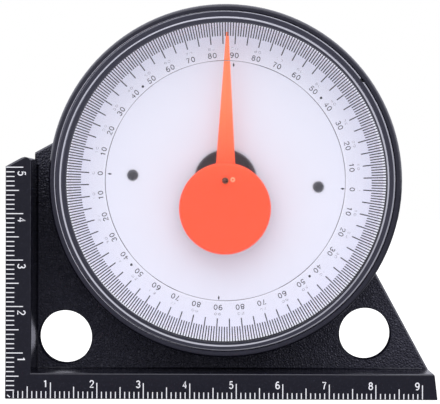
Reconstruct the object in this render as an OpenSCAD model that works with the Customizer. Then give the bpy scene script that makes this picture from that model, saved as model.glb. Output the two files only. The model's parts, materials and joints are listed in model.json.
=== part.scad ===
// Magnetic-base inclinometer: a weighted pointer hangs in a round dial capsule,
// and the capsule turns with friction in the seat of an L-shaped ruler frame.
// Everything is drawn face on: x to the right, y up, z towards the reader, and
// turned upright at the end. Heights along z count from the web's middle plane.

/* [Frame] */
// Length of the foot along its ruler
foot_l = 93; // [88:0.5:110]
// Depth of the foot and the side flange, front to back
foot_d = 28; // [26:0.5:36]
// Thickness of the foot and of the side flange
flange_t = 5.6; // [5.2:0.1:6.5]
// How much the flanges thin out towards the back, behind the web
back_thinning = 1.3; // [0.5:0.1:2]
// Height of the side flange at its outer edge
side_h = 50.1; // [42:0.1:54]
// Rounding of the side flange's inner top corner
side_corner_r = 1.5; // [0.5:0.1:2.5]
// How far the foot's right end leans in over its height
end_lean = 0.55; // [0.1:0.05:1.2]
// Rounding of the flanges' long edges on the web's side
edge_r = 0.5; // [0.3:0.05:0.9]
// Rounding of the flanges' long edges on the measuring side
face_edge_r = 0.25; // [0.15:0.05:0.6]
// Thickness of the web plate between flanges and dial seat
web_t = 4; // [3.5:0.1:5]
// Slant of the web's right edge from upright, in degrees
right_slant = 28.5; // [24:0.5:32]
// Slant of the side flange's top and the web's upper left edge from level, in degrees
left_slant = 28.5; // [20:0.5:34]
// How far the web's upper left edge stands above the line of the flange's top
web_step = 0.6; // [0.2:0.1:2]
// How far the web's upper left corner laps over the side flange
web_lap = 0.6; // [0.1:0.05:1.2]
// Bevel along the slanting edges of the web and the side flange
bevel = 0.4; // [0.2:0.05:0.8]
// Radius of the fillets where the web meets the flanges
root_r = 0.5; // [0.3:0.1:0.8]

/* [Frame holes] */
// Radius of the left hanging hole
left_hole_r = 5.9; // [4:0.1:6]
// Distance of the left hole's centre from the side flange's inner face
left_hole_in = 6.25; // [6.2:0.05:9]
// Height of the left hole's centre above the foot's upper face
left_hole_up = 6.9; // [6.7:0.1:9]
// Radius of the right hanging hole
right_hole_r = 5.7; // [4:0.1:5.8]
// Distance of the right hole's centre from the foot's right end
right_hole_in = 14.75; // [14:0.05:17]
// Height of the right hole's centre above the foot's upper face
right_hole_up = 7.8; // [7.2:0.1:9]

/* [Magnets and groove] */
// Width of the pipe groove's mouth under the foot
groove_w = 10; // [6:0.5:11]
// Depth of the pipe groove
groove_depth = 3.2; // [2:0.1:3.8]
// Length of each strip magnet
magnet_l = 80; // [60:0.5:84]
// Width of each strip magnet
magnet_w = 5.8; // [4:0.1:6.2]
// Thickness of each strip magnet
magnet_t = 1.8; // [1.2:0.1:2.2]
// Flat land between the groove and each magnet
magnet_land = 1.6; // [1:0.1:2]

/* [Dial seat] */
// Dial axis, to the right of the foot's middle
dial_x = 0.8; // [-2:0.1:3]
// Dial axis, above the foot's underside
dial_z = 47.1; // [46:0.1:52]
// Wall of the ring round the dial
ring_wall = 1.4; // [1:0.05:2]
// Thickness of the seat's floor, counted from the web's back face
seat_floor_t = 3; // [2.2:0.1:3.3]
// How far the lens flange stands forward of the ring
ring_inset = 0.5; // [0.2:0.1:0.9]
// Height of the stiffening rim behind the web
rim_h = 4; // [2:0.25:6]
// Height of the ribs behind the web
rib_h = 2.4; // [1:0.1:4]
// Thickness of the ribs
rib_t = 1.4; // [1:0.1:2]
// Number of ribs
rib_count = 6; // [4:1:8]

/* [Capsule] */
// Turn of the capsule from the frame, clockwise, in degrees
dial_set = 3.5; // [-10:0.5:10]
// Radius of the white dish
dish_r = 34.7; // [32:0.1:36]
// Thickness of the dish's floor
dish_t = 0.8; // [0.6:0.05:1.2]
// Thickness of the dish's wall
dish_wall = 0.6; // [0.5:0.05:1]
// Wall of the black cup
cup_wall = 1.95; // [1.7:0.05:2.6]
// Floor of the black cup
cup_floor_t = 2; // [1.8:0.1:2.6]
// Depth between the dish's face and the lens
chamber_h = 7.9; // [7.8:0.1:10]
// Radius of the rear stub that turns in the seat
stub_r = 4; // [3.4:0.1:5]
// Radius of the bearing hub in the middle of the dish
hub_r = 6.9; // [5:0.1:8]
// How far the hub stands out of the dish
hub_up = 1; // [0.6:0.1:1.4]
// Distance of each rivet from the dial axis
rivet_at = 20.5; // [16:0.5:24]
// Radius of a rivet's head
rivet_r = 1.25; // [1:0.05:1.6]

/* [Lens] */
// Thickness of the lens over the scale
lens_t = 1.8; // [1.6:0.1:2.6]
// Thickness of the lens flange
lens_flange_t = 1; // [0.8:0.05:1.2]
// Width of the lens flange outside the raised window
lens_flange_w = 1.3; // [0.9:0.05:1.6]
// Rounding of the window's and the flange's edges
lens_round = 0.35; // [0.15:0.05:0.4]
// Radius of the thinner middle of the lens
window_r = 26; // [22:0.1:28]
// Depth of the thinner middle
window_depth = 0.3; // [0.1:0.05:0.5]
// Radius of the two grip notches in the flange
notch_r = 0.6; // [0.4:0.05:0.8]
// Direction of the grip notches on the dial, in degrees from the 0 mark
notch_at = 39.9; // [30:0.1:50]

/* [Pointer] */
// Length of the pointer from its pivot to its tip
pointer_l = 32.4; // [28:0.1:33]
// Lean of the pointer from plumb, where friction stops it, clockwise, in degrees
pointer_lean = 0.65; // [-1:0.05:1]
// Width of the pointer where it leaves the disc
pointer_w = 4.35; // [3:0.1:5]
// Width of the pointer's tip
tip_w = 0.55; // [0.3:0.05:0.8]
// Radius of the weighted disc
disc_r = 10; // [9:0.1:10.5]
// Distance of the disc's centre below the pivot
disc_drop = 6.05; // [5.5:0.05:6.3]
// Thickness of the disc
disc_t = 3; // [2.6:0.1:3.2]
// Skin and rim of the hollow disc
skin_t = 1; // [0.8:0.05:1.2]
// Radius of the pivot pin
pin_r = 0.5; // [0.4:0.05:0.7]
// Radius of the pointer's brass bush
bush_r = 1.5; // [1.3:0.05:1.7]

/* [Hidden] */
$fn = 96;

// Clearances
turn_gap = 0.15;      // capsule in its seat, all round and behind
fit_gap = 0.05;       // one still piece inside another
run_gap = 0.05;       // pin in bush and in lens
shaft_gap = 0.1;      // stub in the seat's bore
magnet_gap = 0.1;     // magnet in its channel, and under the foot's face
eps = 0.02;           // overrun of a cut

// Frame
half_l = foot_l / 2;
half_d = foot_d / 2;
side_in_x = -half_l + flange_t;
side_top = side_h + flange_t * tan(left_slant);
corner_x = side_in_x - side_corner_r;
corner_z = side_top - side_corner_r * (tan(left_slant) + 1 / cos(left_slant));
round_steps = 4;

// Heights along the dial axis, towards the reader
web_back = -web_t / 2;
web_front = web_t / 2;
seat_z = web_back + seat_floor_t;
cup_back = seat_z + turn_gap;
cup_floor = cup_back + cup_floor_t;
dish_face = cup_floor + dish_t;
lens_back = dish_face + chamber_h;
window_back = lens_back + window_depth;
flange_front = lens_back + lens_flange_t;
lens_front = lens_back + lens_t;
ring_front = flange_front - ring_inset;
hub_face = dish_face + hub_up;

// Radii about the dial axis
cup_in_r = dish_r + fit_gap;
cup_r = cup_in_r + cup_wall;
bore_r = cup_r + turn_gap;
ring_r = bore_r + ring_wall;
raised_r = cup_r - lens_flange_w;
ring_round = 0.9;
rear_boss_r = 9;
rear_boss_wall = 1.3;
rear_boss_h = 3.6;

// Web outline
foot_end_x = half_l - end_lean;
right_edge_foot = [foot_end_x - edge_r / 2, flange_t];
left_edge_foot = [side_in_x - web_lap, side_top + web_step - web_lap * tan(left_slant)];
web_spare = 1;        // web stock that the slanting edges' bevels trim off

// Hanging holes
left_hole = [side_in_x + left_hole_in, flange_t + left_hole_up];
right_hole = [half_l - right_hole_in, flange_t + right_hole_up];

// Magnets
magnet_mid = groove_w / 2 + magnet_land + magnet_w / 2;
magnet_face = magnet_gap;

// Pointer stack, from the hub forwards
spacer_t = 1.05;
spacer_r = 1.8;
bush_back = hub_face + fit_gap + spacer_t + run_gap;
lens_boss_r = 1.3;
lens_boss_end = lens_back - 0.9;
pin_bore_depth = 0.9;
pin_end_gap = 0.2;
pointer_front = lens_boss_end - 0.8;
disc_back = pointer_front - disc_t;
skin_back = pointer_front - skin_t;
boss_wall = 0.9;
boss_r = bush_r + boss_wall;
pivot_hole_r = pin_r + 0.25;
disc_round = 0.8;
stem_front = pointer_front - 0.5;
stem_edge = stem_front - 0.6;
stem_back = stem_edge - 0.7;
tip_drop = 0.5;

// Hub, rivets and gasket
hub_spigot_r = 2.5;
hub_spigot_h = 1;
hub_chamfer = 0.3;
rivet_shank_r = 0.75;
rivet_shank_h = 1.3;
rivet_head_h = 0.5;
gasket_r = 0.33;
gasket_at = cup_in_r + cup_wall / 2;
gasket_space = gasket_r + fit_gap;

// Rear fastening
stub_out = 0.7;
stub_end = web_back - stub_out;
washer_r = 6;
washer_t = 0.8;
washer_back = stub_end - washer_t;
spring_t = 0.3;
spring_in_r = stub_r + 0.3;
spring_out_r = washer_r + 0.3;
spring_seat = 0.03;
screw_r = 1.2;
screw_l = 3.4;
head_r = 2.9;
head_h = 1.6;

// Points of an arc
function arc(cx, cy, r, from, to, steps = round_steps) =
    [for (i = [0:steps]) let (a = from + (to - from) * i / steps) [cx + r * cos(a), cy + r * sin(a)]];

// Section of a flange: width w, from its measuring face at 0 to h, long edges rounded
function flange_section(w, h) = concat(
    arc(w / 2 - face_edge_r, face_edge_r, face_edge_r, -90, 0),
    arc(w / 2 - edge_r, h - edge_r, edge_r, 0, 90),
    [[-web_t / 2 - root_r, h]],
    arc(-w / 2 + edge_r, h - back_thinning - edge_r, edge_r, 90, 180),
    arc(-w / 2 + face_edge_r, face_edge_r, face_edge_r, 180, 270));

// Puts a face-on drawing upright: its z faces the reader, along -Y
module upright() {
    rotate([90, 0, 0]) children();
}

// Capsule drawing, at the dial axis and turned with the dial
module on_dial() {
    upright() translate([dial_x, dial_z, 0]) rotate([0, 0, -dial_set]) children();
}

// Pointer drawing, at the dial axis and hanging almost plumb
module on_pivot() {
    upright() translate([dial_x, dial_z, 0]) rotate([0, 0, -pointer_lean]) children();
}

// ---------- frame ----------

// Foot with rounded long edges and a leaning right end
module foot_bar() {
    intersection() {
        translate([-half_l, 0, 0]) rotate([0, 90, 0])
            linear_extrude(foot_l) mirror([1, 0]) polygon(flange_section(foot_d, flange_t));
        translate([0, 0, -half_d - 1]) linear_extrude(foot_d + 2) polygon(concat(
            arc(-half_l + face_edge_r, face_edge_r, face_edge_r, 180, 270),
            arc(half_l - face_edge_r, face_edge_r, face_edge_r, -90, 0),
            arc(foot_end_x - edge_r, flange_t - edge_r, edge_r, 0, 90),
            [[-half_l, flange_t]]));
    }
}

// Stock below a slanting edge through `at`, bevelled along both its long sides
module below_edge(at, direction, half_t, bevel_w) {
    reach = foot_l;
    spare = 1;
    translate([at[0], at[1], 0]) rotate([0, 0, direction]) rotate([0, 90, 0])
        translate([0, 0, -reach]) linear_extrude(2 * reach) polygon([
            [bevel_w - half_t, 0], [half_t - bevel_w, 0], [half_t + spare, -bevel_w - spare],
            [half_t + spare, -2 * reach], [-half_t - spare, -2 * reach],
            [-half_t - spare, -bevel_w - spare]]);
}

// Side flange with a slanting top
module side_bar() {
    intersection() {
        translate([-half_l, 0, 0]) rotate([-90, 0, 0]) translate([flange_t / 2, 0, 0])
            linear_extrude(side_top) rotate([0, 0, -90]) translate([0, -flange_t / 2, 0])
                polygon(flange_section(foot_d, flange_t));
        translate([0, 0, -half_d - 1]) linear_extrude(foot_d + 2) polygon(concat(
            arc(-half_l + face_edge_r, face_edge_r, face_edge_r, 180, 270),
            [[side_in_x, 0]],
            arc(corner_x, corner_z, side_corner_r, 0, 90 + left_slant),
            [[-half_l, side_h + web_spare]]));
        below_edge([-half_l, side_h], left_slant, half_d, bevel);
    }
}

module web_plate() {
    intersection() {
        translate([0, 0, web_back]) linear_extrude(web_t) polygon([
            [-half_l + flange_t / 2, flange_t / 2],
            [half_l - flange_t, flange_t / 2],
            [right_edge_foot[0], flange_t - edge_r],
            [right_edge_foot[0] + web_spare, flange_t],
            [dial_x + ring_r, dial_z],
            [dial_x, dial_z + ring_r - ring_wall],
            [left_edge_foot[0], left_edge_foot[1] + web_spare],
            [left_edge_foot[0], corner_z],
            [side_in_x - flange_t / 2, corner_z - flange_t / 2]]);
        below_edge(right_edge_foot, right_slant - 90, web_t / 2, bevel);
        below_edge(left_edge_foot, left_slant, web_t / 2, bevel);
    }
}

// Concave fillet prism: corner at the origin, legs along +x and +y
module root_fillet(length) {
    linear_extrude(length) polygon(concat(
        [[-eps, -eps], [root_r, -eps]],
        arc(root_r, root_r, root_r, 270, 180),
        [[-eps, root_r]]));
}

module root_fillets() {
    for (face = [0, 1]) mirror([0, 0, face]) {
        // along the foot
        translate([side_in_x, flange_t, web_front]) rotate([0, 90, 0]) mirror([1, 0, 0])
            root_fillet(foot_end_x - 3 * root_r - side_in_x);
        // along the side flange
        translate([side_in_x, corner_z, web_front]) rotate([90, 0, 0])
            root_fillet(corner_z - flange_t);
    }
}

// Ring, floor and rear rim of the dial seat
module seat_ring() {
    translate([dial_x, dial_z, 0]) rotate_extrude() polygon(concat(
        [[rear_boss_r / 2, web_back], [rear_boss_r / 2, seat_z], [bore_r, seat_z],
         [bore_r, ring_front - 0.2], [bore_r + 0.2, ring_front]],
        arc(ring_r - ring_round, ring_front - ring_round, ring_round, 90, 0),
        [[ring_r, web_back - rim_h + 0.4], [ring_r - 0.4, web_back - rim_h],
         [ring_r - ring_wall, web_back - rim_h], [ring_r - ring_wall, web_back]]));
}

// Boss round the rear screw, and ribs from it to the rim
module rear_ribs() {
    translate([dial_x, dial_z, 0]) {
        rotate_extrude() polygon([
            [rear_boss_r - rear_boss_wall, web_back + eps],
            [rear_boss_r, web_back + eps],
            [rear_boss_r, web_back - rear_boss_h],
            [rear_boss_r - rear_boss_wall, web_back - rear_boss_h]]);
        for (i = [0:rib_count - 1]) rotate([0, 0, 30 + i * 360 / rib_count])
            translate([rear_boss_r - rear_boss_wall / 2, -rib_t / 2, web_back - rib_h])
                cube([ring_r - ring_wall / 2 - rear_boss_r + rear_boss_wall / 2, rib_t, rib_h + eps]);
    }
}

module frame_cuts() {
    // seat and shaft bore
    translate([dial_x, dial_z, seat_z]) cylinder(r = bore_r, h = ring_front);
    translate([dial_x, dial_z, web_back - 1]) cylinder(r = stub_r + shaft_gap, h = web_t + 2);
    // hanging holes
    translate([left_hole[0], left_hole[1], -half_d]) cylinder(r = left_hole_r, h = foot_d);
    translate([right_hole[0], right_hole[1], -half_d]) cylinder(r = right_hole_r, h = foot_d);
    // pipe groove
    rotate([0, 90, 0]) translate([0, 0, -half_l - 1]) linear_extrude(foot_l + 2) polygon([
        [-groove_w / 2, 0], [-groove_w / 2 - 1, -1], [groove_w / 2 + 1, -1], [groove_w / 2, 0],
        [groove_w / 10, groove_depth], [-groove_w / 10, groove_depth]]);
    // magnet channels
    for (side = [-1, 1]) translate([0, 0, side * magnet_mid])
        translate([-magnet_l / 2 - magnet_gap, -1, -magnet_w / 2 - magnet_gap])
            cube([magnet_l + 2 * magnet_gap, 1 + magnet_face + magnet_t, magnet_w + 2 * magnet_gap]);
}

module frame() {
    color([0.10, 0.10, 0.12]) upright() difference() {
        union() {
            foot_bar();
            side_bar();
            web_plate();
            root_fillets();
            seat_ring();
            rear_ribs();
        }
        frame_cuts();
    }
}

// Strip magnet, pressed up against the roof of its channel
module base_magnet(side) {
    color([0.22, 0.19, 0.18]) upright()
        translate([-magnet_l / 2, magnet_face, side * magnet_mid - magnet_w / 2])
            cube([magnet_l, magnet_t, magnet_w]);
}

// ---------- capsule ----------

module capsule_cup() {
    color([0.09, 0.09, 0.10]) on_dial() difference() {
        rotate_extrude() polygon([
            [0, stub_end], [stub_r, stub_end], [stub_r, cup_back], [cup_r - 0.4, cup_back],
            [cup_r, cup_back + 0.4], [cup_r, lens_back],
            [gasket_at + gasket_space, lens_back],
            [gasket_at + gasket_space, lens_back - 2 * gasket_space],
            [gasket_at - gasket_space, lens_back - 2 * gasket_space],
            [gasket_at - gasket_space, lens_back],
            [cup_in_r, lens_back], [cup_in_r, cup_floor], [0, cup_floor]]);
        translate([0, 0, cup_floor - hub_spigot_h - fit_gap])
            cylinder(r = hub_spigot_r + fit_gap, h = hub_spigot_h + 1);
        translate([0, 0, stub_end - eps]) cylinder(r = screw_r + eps, h = screw_l - washer_t + 0.2);
        for (side = [-1, 1]) translate([side * rivet_at, 0, cup_floor - rivet_shank_h - fit_gap])
            cylinder(r = rivet_shank_r + eps, h = rivet_shank_h + 1);
    }
}

module dial_dish() {
    in_r = dish_r - dish_wall;
    color([0.93, 0.93, 0.97]) on_dial() difference() {
        rotate_extrude() polygon(concat(
            [[hub_r + fit_gap, cup_floor], [dish_r - 0.3, cup_floor], [dish_r, cup_floor + 0.3],
             [dish_r, lens_back - fit_gap], [in_r, lens_back - fit_gap]],
            arc(in_r - 0.8, dish_face + 0.8, 0.8, 0, -90),
            [[hub_r + fit_gap, dish_face]]));
        for (side = [-1, 1]) translate([side * rivet_at, 0, cup_floor - 1])
            cylinder(r = rivet_shank_r + eps, h = dish_t + 2);
    }
}

module bearing_hub() {
    color([0.16, 0.15, 0.17]) on_dial() difference() {
        rotate_extrude() polygon([
            [0, cup_floor - hub_spigot_h], [hub_spigot_r, cup_floor - hub_spigot_h],
            [hub_spigot_r, cup_floor], [hub_r, cup_floor], [hub_r, hub_face - hub_chamfer],
            [hub_r - hub_chamfer, hub_face], [0, hub_face]]);
        translate([0, 0, cup_floor - hub_spigot_h / 2])
            cylinder(r = pin_r + eps, h = hub_face);
    }
}

// Two round-headed rivets that hold the dish on the cup's floor
module dial_rivets() {
    dome_r = (rivet_r * rivet_r + rivet_head_h * rivet_head_h) / (2 * rivet_head_h);
    dome_a = asin(rivet_r / dome_r);
    color([0.14, 0.14, 0.16]) on_dial() for (side = [-1, 1]) translate([side * rivet_at, 0, 0])
        rotate_extrude($fn = 48) polygon(concat(
            [[0, cup_floor - rivet_shank_h], [rivet_shank_r, cup_floor - rivet_shank_h],
             [rivet_shank_r, dish_face]],
            arc(0, dish_face + rivet_head_h - dome_r, dome_r, 90 - dome_a, 90, 5)));
}

module lens_gasket() {
    color([0.12, 0.12, 0.12]) on_dial() rotate_extrude()
        translate([gasket_at, lens_back - gasket_space]) circle(r = gasket_r, $fn = 24);
}

// Clear lens: raised window, flange, thinner middle and a bearing boss for the pin
module lens() {
    color([0.85, 0.88, 0.92, 0.35]) on_dial() difference() {
        rotate_extrude($fn = 128) polygon(concat(
            [[0, lens_boss_end + pin_bore_depth],
             [pin_r + run_gap, lens_boss_end + pin_bore_depth],
             [pin_r + run_gap, lens_boss_end], [lens_boss_r, lens_boss_end],
             [lens_boss_r, window_back], [window_r, window_back], [window_r + 0.3, lens_back],
             [cup_r, lens_back]],
            arc(cup_r - lens_round, flange_front - lens_round, lens_round, 0, 90),
            [[raised_r + 0.1, flange_front]],
            arc(raised_r - lens_round, lens_front - lens_round, lens_round, 0, 90),
            [[0, lens_front]]));
        for (side = [0, 180]) rotate([0, 0, notch_at + side])
            translate([cup_r + notch_r / 4, 0, lens_back - eps])
                cylinder(r = notch_r, h = lens_flange_t + 2 * eps, $fn = 32);
    }
}

module pivot_pin() {
    tip = 0.35;
    foot_z = cup_floor - hub_spigot_h / 2 + fit_gap;
    end_z = lens_boss_end + pin_bore_depth - pin_end_gap;
    color([0.75, 0.75, 0.77]) on_dial() rotate_extrude($fn = 32) polygon([
        [0, foot_z], [pin_r, foot_z], [pin_r, end_z - tip], [pin_r / 3, end_z], [0, end_z]]);
}

module hub_spacer() {
    color([0.90, 0.90, 0.88]) on_dial() translate([0, 0, hub_face + fit_gap]) difference() {
        cylinder(r = spacer_r, h = spacer_t, $fn = 48);
        translate([0, 0, -1]) cylinder(r = pin_r + run_gap, h = spacer_t + 2, $fn = 48);
    }
}

// ---------- pointer ----------

// Tapering stem with a ridge down its middle
module pointer_stem() {
    from_y = disc_r - disc_drop - 2;
    foot_w = pointer_w / 2;
    tip = tip_w / 2;
    polyhedron(
        points = [
            [-foot_w, from_y, stem_back], [foot_w, from_y, stem_back],
            [foot_w, from_y, stem_edge], [0, from_y, stem_front], [-foot_w, from_y, stem_edge],
            [-tip, pointer_l, stem_back], [tip, pointer_l, stem_back],
            [tip, pointer_l, stem_edge - tip_drop / 2], [0, pointer_l, stem_front - tip_drop],
            [-tip, pointer_l, stem_edge - tip_drop / 2]],
        faces = [
            [4, 3, 2, 1, 0], [5, 6, 7, 8, 9], [6, 5, 0, 1], [6, 1, 2], [7, 6, 2],
            [7, 2, 3], [8, 7, 3], [8, 3, 4], [9, 8, 4], [9, 4, 0], [5, 9, 0]]);
}

module pointer() {
    in_r = disc_r - skin_t;
    color([1.0, 0.42, 0.30]) on_pivot() difference() {
        union() {
            translate([0, -disc_drop, 0]) rotate_extrude() polygon(concat(
                [[0, skin_back], [in_r, skin_back], [in_r, disc_back], [disc_r, disc_back]],
                arc(disc_r - disc_round, pointer_front - disc_round, disc_round, 0, 90),
                [[0, pointer_front]]));
            translate([0, 0, disc_back + 0.4]) cylinder(r = boss_r, h = disc_t - 0.4 - skin_t / 2, $fn = 64);
            pointer_stem();
        }
        translate([0, 0, bush_back - 1]) cylinder(r = bush_r + eps, h = skin_back - bush_back + 1, $fn = 64);
        translate([0, 0, bush_back]) cylinder(r = pivot_hole_r, h = chamber_h, $fn = 48);
    }
}

module pointer_bush() {
    color([0.80, 0.65, 0.30]) on_pivot() difference() {
        translate([0, 0, bush_back]) cylinder(r = bush_r, h = skin_back - fit_gap - bush_back, $fn = 64);
        translate([0, 0, bush_back - 1]) cylinder(r = pin_r + run_gap, h = chamber_h, $fn = 48);
    }
}

// Metal slug behind the disc's skin, cut out round the bush boss
module counterweight() {
    slug_t = disc_t - skin_t - 0.2;
    color([0.62, 0.62, 0.65]) on_pivot() difference() {
        translate([0, -disc_drop, skin_back - fit_gap - slug_t])
            cylinder(r = disc_r - skin_t - fit_gap, h = slug_t);
        translate([0, 0, disc_back - 1]) cylinder(r = boss_r + fit_gap, h = disc_t + 2, $fn = 64);
        stem_slot();
    }
}

// Room for the stem where it runs into the disc
module stem_slot() {
    translate([-pointer_w / 2 - fit_gap, 0, stem_back - fit_gap])
        cube([pointer_w + 2 * fit_gap, disc_r, disc_t]);
}

// ---------- rear fastening ----------

// Conical spring washer between the seat and the flat washer
module spring_washer() {
    outer_z = web_back - spring_seat;
    inner_z = stub_end + spring_seat;
    color([0.60, 0.61, 0.63]) on_dial() rotate_extrude($fn = 64) polygon([
        [spring_out_r, outer_z], [spring_in_r, inner_z + spring_t],
        [spring_in_r, inner_z], [spring_out_r, outer_z - spring_t]]);
}

module flat_washer() {
    color([0.66, 0.67, 0.69]) on_dial() translate([0, 0, washer_back]) difference() {
        cylinder(r = washer_r, h = washer_t, $fn = 64);
        translate([0, 0, -1]) cylinder(r = screw_r + shaft_gap, h = washer_t + 2, $fn = 48);
    }
}

module dial_screw() {
    slot_w = 0.8;
    slot_l = head_r * 1.2;
    color([0.70, 0.70, 0.72]) on_dial() difference() {
        rotate_extrude($fn = 64) polygon(concat(
            [[0, washer_back - head_h]],
            arc(head_r - 0.8, washer_back - head_h + 0.8, 0.8, -90, 0),
            [[head_r, washer_back], [screw_r, washer_back], [screw_r, washer_back + screw_l - 0.6],
             [screw_r / 3, washer_back + screw_l], [0, washer_back + screw_l]]));
        for (a = [0, 90]) rotate([0, 0, a])
            translate([-slot_l / 2, -slot_w / 2, washer_back - head_h - eps])
                cube([slot_l, slot_w, head_h / 2]);
    }
}

frame();
base_magnet(1);  // base_magnet_front
base_magnet(-1);  // base_magnet_rear
capsule_cup();
dial_dish();
bearing_hub();
dial_rivets();
lens_gasket();
lens();
pivot_pin();
hub_spacer();
pointer();
pointer_bush();
counterweight();
spring_washer();
flat_washer();
dial_screw();
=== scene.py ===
"""Finish of the magnetic-base inclinometer: plastics, lens, dial print, rulers and stage."""

import json
import math

import bmesh
import bpy
from bpy.props import FloatProperty, FloatVectorProperty, IntProperty, PointerProperty
from mathutils import Matrix, Vector

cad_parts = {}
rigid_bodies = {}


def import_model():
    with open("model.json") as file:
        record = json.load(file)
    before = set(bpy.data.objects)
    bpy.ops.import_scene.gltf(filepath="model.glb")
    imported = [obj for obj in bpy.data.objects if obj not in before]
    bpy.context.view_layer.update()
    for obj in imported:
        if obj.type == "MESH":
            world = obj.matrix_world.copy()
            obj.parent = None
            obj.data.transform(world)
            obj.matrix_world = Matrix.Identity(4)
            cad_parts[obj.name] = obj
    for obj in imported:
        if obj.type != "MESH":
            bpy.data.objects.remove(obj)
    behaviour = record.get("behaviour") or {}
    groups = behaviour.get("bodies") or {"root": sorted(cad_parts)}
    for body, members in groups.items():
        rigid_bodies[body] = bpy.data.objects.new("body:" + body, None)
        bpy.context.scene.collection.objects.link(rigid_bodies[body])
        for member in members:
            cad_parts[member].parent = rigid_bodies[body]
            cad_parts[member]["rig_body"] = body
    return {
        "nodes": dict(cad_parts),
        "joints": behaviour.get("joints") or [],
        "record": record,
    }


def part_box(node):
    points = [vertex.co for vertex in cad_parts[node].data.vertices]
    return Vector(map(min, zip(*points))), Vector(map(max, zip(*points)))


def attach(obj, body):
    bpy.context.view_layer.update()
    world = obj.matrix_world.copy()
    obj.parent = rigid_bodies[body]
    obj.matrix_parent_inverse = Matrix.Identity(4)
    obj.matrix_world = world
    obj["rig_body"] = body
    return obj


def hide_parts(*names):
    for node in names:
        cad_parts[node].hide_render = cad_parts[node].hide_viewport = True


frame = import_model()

bl_info = {
    "name": "Inclinometer",
    "version": (1, 0, 0),
    "blender": (4, 5, 0),
    "location": "View3D > Sidebar > Inclinometer",
    "description": "Dresses a magnetic-base inclinometer with its finishes, dial print and rulers",
    "category": "Object",
}

MM = 0.001
DIAL_AXIS = Vector(frame["joints"][0]["pos_m"])
HANGING_HOLES = frame["record"]["mounts"][:2]
FRAME_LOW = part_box("frame")[0]
LENS_LOW, LENS_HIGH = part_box("lens")
POINTER_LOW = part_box("pointer")[0]

CUP_BLACK = (0.012, 0.012, 0.015)
RIVET_BLACK = (0.02, 0.019, 0.026)
GASKET_BLACK = (0.015, 0.015, 0.015)
SPACER_WHITE = (0.72, 0.72, 0.68)
HUB_DARK = (0.01, 0.005, 0.009)
HUB_LIGHT = (0.032, 0.02, 0.032)
LENS_DARK = (0.028, 0.028, 0.048)
# The colour of the painted highlights on the lens's edges.
LENS_HIGHLIGHT = (0.55, 0.55, 0.64)
LENS_MILK = (0.86, 0.85, 0.93)
BRASS = (0.85, 0.4, 0.14)
STEEL = (0.6, 0.6, 0.62)
BLUED = (0.16, 0.06, 0.04)
WHITE = (1, 1, 1)


def toned(shade, ratio):
    """A colour with more or less light in it."""
    return tuple(ratio * part for part in shade)


# ---- sizes and colours


def length(name, description, default_mm):
    """A size in metres, given here in millimetres."""
    return FloatProperty(
        name=name, description=description, default=default_mm * MM, unit="LENGTH", precision=5
    )


def colour(name, description, default):
    return FloatVectorProperty(
        name=name, description=description, default=default, subtype="COLOR", size=3, min=0, max=1
    )


def turn(name, description, default_degrees):
    """An angle in radians, given here in degrees."""
    return FloatProperty(
        name=name, description=description, default=math.radians(default_degrees), subtype="ANGLE"
    )


def share(name, description, default):
    return FloatProperty(name=name, description=description, default=default, min=0, max=1)


def times(name, description, default):
    """A ratio or a brightness, which may pass 1."""
    return FloatProperty(name=name, description=description, default=default, min=0)


def count(name, description, default):
    return IntProperty(name=name, description=description, default=default, min=0)


class FrameLook(bpy.types.PropertyGroup):
    black: colour("Black", "Colour of the frame's smooth plastic", (0.0076, 0.0076, 0.0145))
    web_black: colour("Web black", "Colour of the grained web", (0.019, 0.019, 0.032))
    # The ring's face is painted lighter than the flanges, as a painted sheen.
    ring_black: colour("Ring black", "Colour of the ring's front face", (0.021, 0.021, 0.033))
    ring_back: length("Ring back", "How far the ring's face is behind the foot's front", 1.75)
    grain_size: length("Grain", "Width of a cell of the web's moulded grain", 0.6)
    web_half: length("Web", "Half the thickness of the grained web", 2.0)
    flange: length("Flange", "Height of the foot and thickness of the side flange", 5.3)
    ring: length("Ring", "Outer radius of the ring round the dial", 38.25)
    bore: length("Bore", "Radius of the ring's bore", 36.85)
    # The lip colour is a painted highlight on the edge of the ring's bore.
    lip: colour("Lip", "Colour of the polished lip of the ring's bore", (0.42, 0.42, 0.5))
    magnet: colour("Magnet", "Colour of the strip magnets", (0.032, 0.028, 0.027))


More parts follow.
